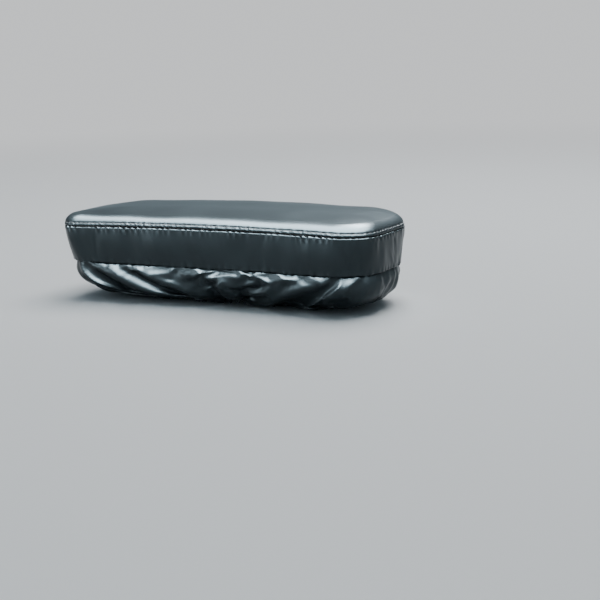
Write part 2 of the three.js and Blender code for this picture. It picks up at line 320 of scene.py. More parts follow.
class Rims:
    """The pad's body as rings of stations, in the row frame."""

    def __init__(self, shape, count):
        self.shape = shape
        self.count = count
        self.lower = plan_outline(shape, True, count)
        self.upper = plan_outline(shape, False, count)
        self.spine_half = (shape.length - shape.width) / 2
        self.shift = np.zeros(3)
        ring = self.ring(UPPER_THREAD_INSET, UPPER_SEAM)
        middle = (ring.min(axis=0) + ring.max(axis=0)) / 2
        there = box_middle("upper_seam_thread")
        self.shift = np.array([there.x - middle[0], there.y - middle[1], 0.0])
        self.around = np.arange(count) / count

    def rim_at(self, z):
        """(rim, way to the spine, distance to the spine) at a height."""
        share = np.clip((z - LOWER_SEAM) / (UPPER_SEAM - LOWER_SEAM), 0, 1)
        share = np.broadcast_to(share, (self.count,))[:, None]
        rim = self.lower + (self.upper - self.lower) * share
        spine = np.stack(
            [np.clip(rim[:, 0], -self.spine_half, self.spine_half), 0 * rim[:, 0]], axis=1
        )
        away = spine - rim
        distance = np.linalg.norm(away, axis=1)
        return rim, away / distance[:, None], distance, share[:, 0]

    def ring(self, inset, z, spine_share=None):
        """One ring round the pad, in from the outer face or a share of the way to the spine.

        Each value is one number or one per station.
        """
        shape = self.shape
        rim, inward, distance, share = self.rim_at(z)
        above = np.clip((z - ARCH_START) / (UPPER_SEAM - ARCH_START), 0, 1)
        if spine_share is None:
            distance = inset - shape.band_bulge * np.sin(np.pi * share)
        else:
            distance = spine_share * distance
        flat = rim + inward * np.broadcast_to(distance, (self.count,))[:, None]
        arch = shape.arch_drop * above * (flat[:, 0] / (shape.length / 2)) ** 2
        height = np.broadcast_to(z, (self.count,)) - arch
        return np.column_stack([flat, height]) + self.shift

    def to_spine(self):
        """How far each station of the upper rim is from the spine."""
        return self.rim_at(UPPER_SEAM)[2]


def closed_normals(grid):
    """Unit normals of a grid of rings, closed along its second axis."""
    along = np.gradient(grid, axis=0)
    round_it = np.roll(grid, -1, axis=1) - np.roll(grid, 1, axis=1)
    normal = np.cross(round_it, along)
    size = np.maximum(np.linalg.norm(normal, axis=2, keepdims=True), 1e-12)
    return normal / size


def unit(vectors):
    """The vectors at length 1."""
    return vectors / np.linalg.norm(vectors, axis=1)[:, None]


def waves(rng, around, slowest, quickest, count):
    """A smooth closed wandering line between about -1 and 1."""
    turns = rng.integers(slowest, quickest + 1, count)
    phases = rng.random(count)
    total = sum(np.sin(2 * np.pi * (n * around + p)) for n, p in zip(turns, phases))
    return total / math.sqrt(count)


def hump(x, middle, width):
    """A round hump of height 1."""
    return np.exp(-(((x - middle) / width) ** 2))


# Meshes


def ring_mesh(name, grid, flip=False, fill_last=False):
    """A mesh object from a grid of rings, with a UV map in metres."""
    rows, count = grid.shape[:2]
    along = np.concatenate(
        [[0], np.cumsum(np.linalg.norm(np.diff(grid, axis=0), axis=2).mean(axis=1))]
    )
    girth = girth_of(grid[0])
    index = np.arange(rows * count).reshape(rows, count)
    right = np.roll(index, -1, axis=1)
    quads = np.stack([index[:-1], right[:-1], right[1:], index[1:]], axis=-1).reshape(-1, 4)
    u = np.arange(count + 1) / count * girth
    corner_u = np.stack(
        np.broadcast_arrays(u[None, :-1], u[None, 1:], u[None, 1:], u[None, :-1]), axis=-1
    )
    corner_u = np.broadcast_to(corner_u, (rows - 1, count, 4))
    corner_v = np.broadcast_to(
        np.stack([along[:-1], along[:-1], along[1:], along[1:]], axis=-1)[:, None, :],
        (rows - 1, count, 4),
    )
    uv = np.stack([corner_u, corner_v], axis=-1).reshape(-1, 4, 2)
    if flip:
        quads, uv = quads[:, ::-1], uv[:, ::-1]
    mesh = bpy.data.meshes.new(name)
    mesh.from_pydata(grid.reshape(-1, 3).tolist(), [], quads.tolist())
    layer = mesh.uv_layers.new(name="Cloth")
    layer.data.foreach_set("uv", uv.reshape(-1).astype(np.float32))
    if fill_last:
        fill_rim(mesh, index[-1])
    return smooth_object(name, mesh)


def new_object(name, data):
    """An object in the scene."""
    obj = bpy.data.objects.new(name, data)
    bpy.context.scene.collection.objects.link(obj)
    return obj


def smooth_object(name, mesh):
    """A smoothly shaded mesh as an object in the scene."""
    mesh.polygons.foreach_set("use_smooth", np.ones(len(mesh.polygons), bool))
    return new_object(name, mesh)


@contextmanager
def edited(mesh):
    """Opens a mesh for edits, then turns its faces outwards."""
    bm = bmesh.new()
    bm.from_mesh(mesh)
    yield bm
    bmesh.ops.recalc_face_normals(bm, faces=bm.faces)
    bm.to_mesh(mesh)
    bm.free()


def fill_rim(mesh, rim):
    """Closes the narrow slot that the last ring leaves."""
    wanted = {int(k) for k in rim}
    with edited(mesh) as bm:
        bm.verts.ensure_lookup_table()
        edges = [e for e in bm.edges if e.is_boundary and all(v.index in wanted for v in e.verts)]
        bmesh.ops.triangle_fill(bm, edges=edges, use_beauty=True)


def select_only(obj):
    """Deselects everything, then selects and activates one object."""
    bpy.ops.object.select_all(action="DESELECT")
    obj.select_set(True)
    bpy.context.view_layer.objects.active = obj


def apply_modifier(obj, kind, **values):
    """Adds a modifier with its settings, and applies it."""
    select_only(obj)
    modifier = obj.modifiers.new(kind, kind)
    for name, value in values.items():
        setattr(modifier, name, value)
    bpy.ops.object.modifier_apply(modifier=modifier.name)


def thicken(obj, thickness):
    """Gives a sheet its thickness on the inner side."""
    apply_modifier(obj, "SOLIDIFY", thickness=thickness, offset=-1, use_even_offset=False)


def stitch_mesh(name, starts, ends, normals, thread, lift):
    """A row of separate stitches. Each one rises from its first hole and dives into its second."""
    sides, steps = 6, 6
    share = np.linspace(0, 1, steps + 1)
    arch = lift * np.sin(np.pi * share) ** 0.6 - thread * (np.abs(2 * share - 1) ** 6)
    slim = 1 - 0.35 * np.abs(2 * share - 1) ** 4
    vertices, faces = [], []
    turn = 2 * np.pi * np.arange(sides) / sides
    for a, b, up in zip(starts, ends, normals):
        way = (b - a) / np.linalg.norm(b - a)
        across = np.cross(way, up)
        across = across / np.linalg.norm(across)
        over = np.cross(across, way)
        base = len(vertices)
        for s, rise, thin in zip(share, arch, slim):
            middle = a + (b - a) * s + over * rise
            radius = thread / 2 * thin
            for angle in turn:
                vertices.append(
                    middle + radius * (math.cos(angle) * across + math.sin(angle) * over)
                )
        for r in range(steps):
            for k in range(sides):
                right = (k + 1) % sides
                low, high = base + r * sides, base + (r + 1) * sides
                faces.append((low + k, low + right, high + right, high + k))
        faces.append(tuple(base + k for k in reversed(range(sides))))
        faces.append(tuple(base + steps * sides + k for k in range(sides)))
    mesh = bpy.data.meshes.new(name)
    mesh.from_pydata([tuple(v) for v in vertices], [], faces)
    with edited(mesh):
        pass
    return smooth_object(name, mesh)


def stitch_ends(line, pitch, gap):
    """(starts, ends, places round the line) of stitches spaced evenly along a closed line."""
    closed, run = closed_run(line)
    count = round(run[-1] / pitch)
    step = run[-1] / count
    first = np.arange(count) * step + gap / 2
    ends = at_runs(closed, run, first + step - gap)
    return at_runs(closed, run, first), ends, first / run[-1]


# Materials


class ShaderTree:
    """The nodes of a material or of the world."""

    def __init__(self, owner):
        owner.use_nodes = True
        self.nodes, self.links = owner.node_tree.nodes, owner.node_tree.links

    def feed(self, node, inputs):
        """Sets a node's inputs, or links them where the value is another node's output."""
        for key, value in inputs.items():
            if isinstance(value, bpy.types.NodeSocket):
                self.links.new(value, node.inputs[key])
            else:
                node.inputs[key].default_value = value

    def add(self, kind, inputs=None, **values):
        """A new node with its settings and inputs."""
        node = self.nodes.new("ShaderNode" + kind)
        for name, value in values.items():
            setattr(node, name, value)
        self.feed(node, inputs or {})
        return node

    def coordinates(self, kind="Object"):
        """Texture coordinates."""
        return self.add("TexCoord").outputs[kind]

    def noise(self, scale, detail=2.0):
        """Cloudy noise on Object coordinates."""
        inputs = {"Vector": self.coordinates(), "Scale": scale, "Detail": detail}
        return self.add("TexNoise", inputs).outputs["Fac"]

    def cells(self, scale):
        """Distances in a pattern of cells on Object coordinates."""
        inputs = {"Vector": self.coordinates(), "Scale": scale}
        return self.add("TexVoronoi", inputs).outputs["Distance"]

    def ranged(self, source, low, high):
        """Maps a 0 to 1 value to a range."""
        inputs = {"Value": source, "To Min": low, "To Max": high}
        return self.add("MapRange", inputs).outputs["Result"]

    def bump(self, height, strength, distance, below=None):
        """A bump, on top of another one where there is one."""
        inputs = {"Height": height, "Strength": strength, "Distance": distance}
        if below is not None:
            inputs["Normal"] = below
        return self.add("Bump", inputs).outputs["Normal"]

    def blend(self, factor, first, second):
        """Blends two colours."""
        inputs = {0: factor, 6: (*first, 1.0), 7: (*second, 1.0)}
        return self.add("Mix", inputs, data_type="RGBA").outputs[2]

    def shades(self, factor, tint, dark, light):
        """Blends two shades of one colour, each given as a share of it."""
        return self.blend(factor, [dark * c for c in tint], [light * c for c in tint])


def new_material(name):
    """(material, its tree, its shader) with nothing else in the tree."""
    material = bpy.data.materials.new(name)
    tree = ShaderTree(material)
    tree.nodes.clear()
    shader = tree.add("BsdfPrincipled")
    tree.add("OutputMaterial", {"Surface": shader.outputs["BSDF"]})
    return material, tree, shader


def leathercloth_material(name, tint):
    """Glossy coated cloth with a fine pebbled grain and slow changes in its gloss."""
    material, tree, shader = new_material(name)
    handled = tree.noise(26.0, detail=3.0)
    pebbles = tree.bump(tree.cells(950.0), 0.10, 0.00008)
    look = {
        "Base Color": tree.shades(handled, tint, 0.82, 1.25),
        "Roughness": tree.ranged(handled, 0.29, 0.39),
        "Normal": tree.bump(tree.noise(2400.0), 0.06, 0.00005, below=pebbles),
        "Specular IOR Level": 0.3,
        "Specular Tint": (0.74, 0.92, 1.0, 1.0),
    }
    tree.feed(shader, look)
    return material


def thread_material(name, tint):
    """Twisted sewing thread."""
    material, tree, shader = new_material(name)
    fibres = tree.noise(3500.0)
    look = {
        "Base Color": tree.shades(fibres, tint, 0.7, 1.5),
        "Normal": tree.bump(fibres, 0.4, 0.0001),
        "Roughness": 0.55,
        "Sheen Weight": 0.2,
    }
    tree.feed(shader, look)
    return material


def foam_material(name, tint):
    """Open-celled foam."""
    material, tree, shader = new_material(name)
    cells = tree.cells(1100.0)
    look = {
        "Base Color": tree.shades(cells, tint, 0.6, 1.0),
        "Normal": tree.bump(cells, 0.6, 0.0004),
        "Roughness": 0.95,
    }
    tree.feed(shader, look)
    return material


def woven_material(name, tint, threads_per_metre):
    """Plain weave on the piece's own UV map, which is in metres."""
    material, tree, shader = new_material(name)
    inputs = {"Vector": tree.coordinates("UV"), "Scale": threads_per_metre / 20}
    ribs = [tree.add("TexWave", inputs, bands_direction=axis).outputs["Fac"] for axis in "XY"]
    weave = tree.add("Math", dict(enumerate(ribs)), operation="MAXIMUM").outputs["Value"]
    look = {
        "Base Color": tree.shades(weave, tint, 0.55, 1.4),
        "Normal": tree.bump(weave, 0.5, 0.0002),
        "Roughness": 0.85,
        "Sheen Weight": 0.15,
    }
    tree.feed(shader, look)
    return material


# Each slot's material: its name, how it is made, and what it is made with
MATERIALS = {
    "leathercloth": ("black_leathercloth", leathercloth_material, "leather"),
    "thread": ("sewing_thread", thread_material, "thread"),
    "elastic": ("woven_elastic", woven_material, "elastic", 1400),
    "lining": ("woven_lining", woven_material, "lining", 1600),
    "comfort_foam": ("open_cell_comfort_foam", foam_material, "comfort_foam"),
    "support_foam": ("open_cell_support_foam", foam_material, "support_foam"),
}


def dress(obj, slot):
    """Gives an object the slot's material, which is made on its first use."""
    name, make, tint, *rest = MATERIALS[slot]
    colours = bpy.context.scene.armrest_pad_colours
    material = bpy.data.materials.get(name) or make(name, getattr(colours, tint), *rest)
    obj.data.materials.clear()
    obj.data.materials.append(material)


def finish_piece(obj, slot, *nodes):
    """Gives a piece its look and CAD body, and hides the CAD nodes that it stands for."""
    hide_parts(*nodes)
    dress(obj, slot)
    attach(obj, BODY)


# Operators


class ARMREST_PAD_OT_top_panel(Operator):
    """Top panel: domed leathercloth, drawn in along its stitches and folded under at the seam"""

    bl_idname = "armrest_pad.top_panel"
    bl_label = "Top Panel"

    def execute(self, context):
        shape, sewing = context.scene.armrest_pad_shape, context.scene.armrest_pad_sewing
        rims = Rims(shape, STATIONS)
        grid, run = top_panel_rings(rims, shape)
        rng = np.random.default_rng(sewing.seed)
        normals = closed_normals(grid)
        around = rims.around
        stitches = round(girth_of(grid[0]) / sewing.stitch_pitch)
        holes = 0.5 + 0.5 * np.cos(2 * np.pi * stitches * around)
        pulled = 0.55 + 0.45 * holes + 0.15 * waves(rng, around, 20, 90, 8)
        pinch = waves(rng, around, 60, 200, 10)
        slow = waves(rng, around, 3, 14, 6)
        run = run[:, None]
        outside = run > 0
        dent_width = 0.9 * MM
        tuck_place, tuck_width = 1.2 * MM, 2.2 * MM
        swell_height, swell_place, swell_width = 0.35 * MM, 16 * MM, 11 * MM
        dent = -sewing.topstitch_dent * pulled * hump(run, sewing.topstitch_inset, dent_width)
        tuck = 0.5 * sewing.pucker * pinch * hump(run, tuck_place, tuck_width)
        swell = swell_height * slow * hump(run, swell_place, swell_width)
        grid = grid + normals * ((dent + tuck + swell) * outside)[:, :, None]
        panel = ring_mesh("top_panel_leather", grid, fill_last=True)
        thicken(panel, shape.leather)
        finish_piece(panel, "leathercloth", "top_panel")
        return {"FINISHED"}


def top_panel_rings(rims, shape):
    """(rings from the turned-in edge to the middle, distance of each from the seam)"""
    base = UPPER_SEAM + 0.6 * MM
    crown_rise = TOP - base - shape.shoulder_rise
    to_spine = rims.to_spine()
    reach = np.minimum(shape.crown_reach, 0.86 * to_spine)
    nearest = to_spine.min()
    last_share = 0.90  # the last ring, as a share of the way to the spine

    def dome(inset):
        """The dome's rise at a distance from the rim, as a share."""
        return 1 - (1 - np.minimum(inset / reach, 1)) ** 2

    rings, run = [], []
    under = 1.5 * MM
    turn_steps = 6
    for k in range(turn_steps):
        inset = shape.allowance * (1 - k / turn_steps)
        angle = math.acos(max(1 - (inset + under) / shape.shoulder_radius, -0.0))
        z = base + 0.6 * shape.shoulder_rise * math.sin(angle) - under
        rings.append(rims.ring(inset + under, z))
        run.append(-inset)
    fold = 0.5 * MM
    for k in range(4):
        angle = math.pi / 2 * k / 4
        rings.append(rims.ring(fold * (1 - math.sin(angle)), base - fold * math.cos(angle) + fold))
        run.append(-fold * (1 - k / 4))
    arc = math.pi / 2 * shape.shoulder_radius
    rim_steps = 26
    for k in range(rim_steps + 1):
        angle = math.pi / 2 * k / rim_steps
        inset = shape.shoulder_radius * (1 - math.cos(angle))
        z = base + shape.shoulder_rise * math.sin(angle) + crown_rise * dome(inset)
        rings.append(rims.ring(inset, z + fold * (1 - k / rim_steps)))
        run.append(arc * k / rim_steps)
    dome_steps = 22
    start = shape.shoulder_radius / to_spine
    for k in range(1, dome_steps + 1):
        share = start + (last_share - start) * k / dome_steps
        z = base + shape.shoulder_rise + crown_rise * dome(share * to_spine)
        rings.append(rims.ring(0, z, spine_share=share))
        run.append(arc + (nearest - shape.shoulder_radius) * k / dome_steps)
    return np.array(rings), np.array(run)


class ARMREST_PAD_OT_side_band(Operator):
    """Side band: upright wall with turned-in edges, small puckers and soft wrinkles"""

    bl_idname = "armrest_pad.side_band"
    bl_label = "Side Band"

    def execute(self, context):
        shape, sewing = context.scene.armrest_pad_shape, context.scene.armrest_pad_sewing
        rims = Rims(shape, STATIONS)
        rng = np.random.default_rng(sewing.seed + 11)
        grid, heights = side_band_rings(rims, shape)
        wall = ((heights >= 0) & (heights <= 1)).astype(float)
        normals = closed_normals(grid)
        around = rims.around
        pinch = waves(rng, around, 70, 190, 12)
        upper = sewing.pucker * pinch * hump(heights, 1.0, 0.10) * 0.9
        lower = sewing.pucker * waves(rng, around, 40, 150, 12) * hump(heights, 0.0, 0.10) * 0.8
        slow = 0.5 * MM * waves(rng, around, 3, 16, 6) * hump(heights, 0.45, 0.4)
        slow = slow + 0.22 * MM * waves(rng, around, 18, 46, 8) * hump(heights, 0.7, 0.4)
        slow = slow + 0.22 * MM * waves(rng, around, 14, 40, 8) * hump(heights, 0.15, 0.35)
        wrinkles = band_wrinkles(rng, rims, heights, sewing.wrinkle)
        deepest, highest = -0.9 * MM, 1.6 * MM  # so that the foam stays inside
        relief = np.clip(upper + lower + slow + wrinkles, deepest, highest)
        grid = grid + normals * (relief * wall)[:, :, None]
        band = ring_mesh("side_band_leather", grid)
        thicken(band, shape.leather)
        finish_piece(band, "leathercloth", "side_band")
        return {"FINISHED"}


def side_band_rings(rims, shape):
    """(rings from the lower turned-in edge to the upper one, height of each on the wall).

    Heights run from 0 to 1 on the wall, and lie outside that where the edge is turned in.
    """
    wall_top = UPPER_SEAM - 0.45 * MM
    wall_bottom = FOLD_BOTTOM
    fold = 0.8 * MM
    wall_steps, edge_steps = 34, 5
    quarter = [math.pi / 2 * (k / 4) for k in range(5)]
    levels = []  # height on the wall, inset, z
    for k in range(edge_steps):
        inset = shape.allowance * (1 - k / edge_steps) + fold
        levels.append((-1.0, inset, wall_bottom + 1.6 * MM))
    for q in quarter:
        levels.append((0.0, fold * (1 - math.sin(q)), wall_bottom + fold * (1 - math.cos(q))))
    for k in range(1, wall_steps + 1):
        part = k / (wall_steps + 1)
        z = wall_bottom + fold + (wall_top - wall_bottom - 2 * fold) * part
        levels.append((part, 0, z))
    for q in quarter:
        levels.append((1.0, fold * (1 - math.cos(q)), wall_top - fold * (1 - math.sin(q))))
    for k in range(1, edge_steps + 1):
        levels.append((2.0, fold + shape.allowance * k / edge_steps, wall_top))
    rings = [rims.ring(inset, z) for _, inset, z in levels]
    return np.array(rings), np.array([level[0] for level in levels])[:, None]


def band_wrinkles(rng, rims, heights, tall):
    """Soft upright and slanted wrinkles, closest together round the ends of the band."""
    ring = rims.ring(0, (LOWER_SEAM + UPPER_SEAM) / 2)
    front = (ring[:, 0] > 0.42 * rims.shape.length).astype(float)
    rear = (ring[:, 0] < -0.40 * rims.shape.length).astype(float)
    crowded = softened((front + 0.6 * rear)[None], 41)[0]
    total = np.zeros((len(heights), rims.count))
    wrinkle_count = 120
    for _ in range(wrinkle_count):
        middle, lean = rng.random(), rng.normal(0, 0.006)
        width = rng.uniform(0.0022, 0.006)
        height, reach = rng.uniform(0.1, 0.9), rng.uniform(0.2, 0.55)
        centre = middle + lean * (heights - 0.5)
        gap = np.abs(rims.around[None, :] - centre)
        gap = np.minimum(gap % 1, 1 - gap % 1)
        sign = rng.choice([-1.0, 0.7])
        total += sign * np.exp(-((gap / width) ** 2)) * hump(heights, height, reach)
    return 0.55 * tall * total * (0.35 + 1.2 * crowded)


class ARMREST_PAD_OT_skirt(Operator):
    """Skirt: a leathercloth strip sewn to the lower seam, gathered under the armrest by its hem"""

    bl_idname = "armrest_pad.skirt"
    bl_label = "Skirt"

    def execute(self, context):
        shape, skirt = context.scene.armrest_pad_shape, context.scene.armrest_pad_skirt
        strip = skirt_strip(shape, skirt)
        settled = settled_strip(context, strip, skirt)
        settled = filled_out(settled, strip["guide"])
        context.scene["armrest_pad_strip"] = settled.reshape(-1).tolist()
        context.scene["armrest_pad_strip_rows"] = settled.shape[0]
        grid = hemmed(settled, strip["turn"], skirt)
        obj = ring_mesh("skirt_leather", respaced(grid, SKIRT_MESH_STATIONS), flip=True)
        apply_modifier(obj, "SUBSURF", levels=1, render_levels=1)
        thicken(obj, skirt.leather)
        finish_piece(obj, "leathercloth", "skirt")
        return {"FINISHED"}


def skirt_strip(shape, skirt):
    """The strip before it is gathered: its top edge, its drop, and where the hem ends up."""
    rims = Rims(shape, SKIRT_STATIONS)
    seam_inset, seam_height = 2.4 * MM, LOWER_SEAM - 0.9 * MM
    underside = 4 * MM
    taper_start, taper_run = 0.62, 0.38  # shares of the way from the middle to the rear
    top = rims.ring(seam_inset, seam_height)
    turn = rims.ring(seam_inset + shape.allowance, seam_height)
    inner, outer = skirt.mouth_width / 2, skirt.mouth_length / 2
    angle = np.arctan2(rims.lower[:, 1] / shape.width, rims.lower[:, 0] / shape.length)
    mouth = np.column_stack(
        [
            HEM_MIDDLE.x + outer * np.cos(angle),
            HEM_MIDDLE.y + inner * np.sin(angle),
            0 * angle + HEM_BOTTOM,
        ]
    )
    steps = 8
    quarter = [math.pi / 2 * k / steps for k in range(steps + 1)]
    widest = LOWER_SEAM - skirt.bulge_drop
    rearward = -rims.lower[:, 0] / (shape.length / 2)
    towards_rear = np.clip((rearward - taper_start) / taper_run, 0, 1)
    rounding = skirt.rounding + skirt.rear_taper * towards_rear**1.5
    guide = [top] + [
        rims.ring(
            skirt.inset + rounding * (1 - math.cos(q)),
            widest - (widest - underside) * math.sin(q),
        )
        for q in quarter
    ]
    guide = np.array(guide + [mouth])
    drop = skirt.slack * np.linalg.norm(np.diff(guide, axis=0), axis=2).sum(axis=0)
    drop = softened(drop[None], 31)[0]
    return {
        "rims": rims,
        "top": top,
        "turn": turn,
        "mouth": mouth,
        "guide": guide,
        "drop": drop,
        "girth": float(girth_of(top)),
    }


def respaced(grid, count):
    """The rings with another number of stations."""
    old = grid.shape[1]
    closed = np.concatenate([grid, grid[:, :1]], axis=1)
    place = np.arange(count) * old / count
    first = place.astype(int)
    share = (place - first)[None, :, None]
    return closed[:, first] * (1 - share) + closed[:, first + 1] * share


def softened(values, width):
    """A running mean round a closed line. Values are rows of stations."""
    count = values.shape[1]
    kernel = np.ones(width) / width
    wide = np.concatenate([values, values, values], axis=1)
    return np.array([np.convolve(row, kernel, "same")[count : 2 * count] for row in wide])


def filled_out(settled, guide):
    """Fills the settled skirt out to the section of the armrest inside it, and keeps its folds."""
    steps = np.linalg.norm(np.diff(guide, axis=0), axis=2)
    runs = np.concatenate([np.zeros((1, guide.shape[1])), np.cumsum(steps, axis=0)])
    runs = runs / runs[-1]
    share = np.linspace(0, 1, len(settled))
    wanted = np.empty_like(settled)
    for k in range(guide.shape[1]):
        for axis in range(3):
            wanted[:, k, axis] = np.interp(share, runs[:, k], guide[:, k, axis])
    hold = np.sin(np.pi * share)[:, None, None] ** 0.4
    wide, narrow, passes = 23, 13, 3
    filled = settled.copy()
    for _ in range(passes):
        change = wanted - filled
        for axis in range(3):
            change[:, :, axis] = softened(softened(change[:, :, axis], wide), narrow)
        filled += change * hold
    return filled


def settled_strip(context, strip, skirt):
    """Rings of the strip after the hem has drawn in, by cloth simulation."""
    rng = np.random.default_rng(skirt.seed)
    rims, top, drop = strip["rims"], strip["top"], strip["drop"]
    share = np.linspace(0, 1, SKIRT_ROWS)[:, None, None]
    hanging = top[None] - share * (drop[:, None] * np.array([0, 0, 1.0]))[None]
    outward = closed_normals(hanging)
    outward = outward * np.sign((outward * hanging).sum())
    seeds = np.array([waves(rng, rims.around, 14, 46, 8) for _ in range(3)])
    blend = np.array([hump(share[:, 0, 0], m, 0.35) for m in (0.2, 0.6, 1.0)])
    ripple_height = 0.8 * MM
    ripple = ripple_height * (blend.T @ seeds)
    ripple[0] = 0
    hanging = hanging + outward * ripple[:, :, None]
    spacing = strip["girth"] * (1 + skirt.ease) / SKIRT_STATIONS
    mouth_step = np.linalg.norm(strip["mouth"] - np.roll(strip["mouth"], 1, axis=0), axis=1)
    rise = np.sqrt(np.maximum(spacing**2 - mouth_step**2, 0))
    wobble = 0.25 * waves(rng, rims.around, 3, 11, 5)
    height = rise.mean() * SKIRT_STATIONS / skirt.gathers / 4
    size = height * (1 + 0.25 * waves(rng, rims.around, 9, 30, 6))
    ruffle = size * np.sin(2 * np.pi * (skirt.gathers * rims.around + wobble))
    hem = strip["mouth"] + ruffle[:, None] * np.array([0, 0, 1.0])
    cloth = ring_mesh("skirt_cloth", hanging, flip=True)
    cloth.shape_key_add(name="Hanging")
    drawn = cloth.shape_key_add(name="Drawn in")
    target = hanging.copy()
    target[-1] = hem
    drawn.data.foreach_set("co", target.reshape(-1))
    drawn.value = 0.0
    drawn.keyframe_insert("value", frame=1)
    drawn.value = 1.0
    drawn.keyframe_insert("value", frame=skirt.draw_frames)
    held = cloth.vertex_groups.new(name="Held")
    count = SKIRT_STATIONS
    held.add(list(range(count)), 1.0, "REPLACE")
    held.add(list(range((SKIRT_ROWS - 1) * count, SKIRT_ROWS * count)), 1.0, "REPLACE")
    former = armrest_former(strip)
    return run_cloth(context, cloth, former, skirt)


def armrest_former(strip):
    """A stand-in for the armrest that the skirt wraps, only there while the cloth settles."""
    rims = strip["rims"]
    face, bottom = LOWER_SEAM - 2 * MM, LOWER_SEAM - 23 * MM
    edge_inset, edge_rounding = 13 * MM, 6 * MM
    rings = [rims.ring(0, face, spine_share=0.9), rims.ring(edge_inset, face)]
    for k in range(7):
        angle = math.pi / 2 * k / 6
        inset = edge_inset + edge_rounding * (1 - math.cos(angle))
        rings.append(rims.ring(inset, LOWER_SEAM - 9 * MM - 14 * MM * math.sin(angle)))
    rings.append(rims.ring(0, bottom, spine_share=0.9))
    former = ring_mesh("armrest_former", np.array(rings), flip=True)
    select_only(former)
    bpy.ops.object.modifier_add(type="COLLISION")
    former.collision.thickness_outer = 0.001
    former.collision.cloth_friction = 4.0
    return former


def run_cloth(context, cloth, former, skirt):
    """Steps the simulation and returns the settled rings. Nothing of it is left in the scene."""
    scene = context.scene
    last = skirt.draw_frames + skirt.settle_frames
    modifier = cloth.modifiers.new("Cloth", "CLOTH")
    modifier.point_cache.frame_start = 1
    modifier.point_cache.frame_end = last
    settings = modifier.settings
    settings.quality = 7
    settings.mass = 0.15
    settings.tension_stiffness = 30
    settings.compression_stiffness = 30
    settings.shear_stiffness = 8
    settings.bending_stiffness = 0.08
    settings.tension_damping = 10
    settings.compression_damping = 10
    settings.air_damping = 3
    settings.vertex_group_mass = "Held"
    settings.shrink_min = -skirt.ease
    settings.use_pressure = True
    settings.uniform_pressure_force = skirt.pressure
    settings.effector_weights.gravity = 0
    modifier.collision_settings.use_self_collision = False
    modifier.collision_settings.distance_min = 0.001
    modifier.collision_settings.collision_quality = 2
    for step in range(1, last + 1):
        scene.frame_set(step)
    graph = context.evaluated_depsgraph_get()
    result = cloth.evaluated_get(graph).to_mesh()
    settled = np.zeros(len(result.vertices) * 3)
    result.vertices.foreach_get("co", settled)
    cloth.evaluated_get(graph).to_mesh_clear()
    scene.frame_set(1)
    for temporary in (cloth, former):
        bpy.data.objects.remove(temporary)
    return settled.reshape(SKIRT_ROWS, SKIRT_STATIONS, 3)


def hemmed(settled, turn, skirt):
    """Adds the turned-in top edge and the fold that holds the elastic."""
    top = settled[0]
    turned = [turn + (top - turn) * k / 4 for k in range(4)]
    up = np.array([0, 0, HEM_CASING])
    edge = settled[-1]
    centre = np.array([HEM_MIDDLE.x, HEM_MIDDLE.y, 0])
    inward = centre - edge
    inward[:, 2] = 0
    inward = unit(inward)
    fold = []
    for k in range(1, 5):
        angle = math.pi * k / 5
        fold.append(
            edge
            + inward * (HEM_CASING / 2 * math.sin(angle))
            + up * (1 - math.cos(angle)) / 2
        )
    run = np.linalg.norm(np.diff(settled[::-1], axis=0), axis=2).mean(axis=1).cumsum()
    back = int(np.searchsorted(run, skirt.hem_width)) + 1
    inner = [settled[-1 - k] + up for k in range(back + 1)]
    return np.concatenate([np.array(turned), settled, np.array(fold), np.array(inner)])


def settled_rings(scene):
    """The skirt's settled rings, as the skirt's operator left them."""
    rows = scene["armrest_pad_strip_rows"]
    return np.array(scene["armrest_pad_strip"], float).reshape(rows, SKIRT_STATIONS, 3)


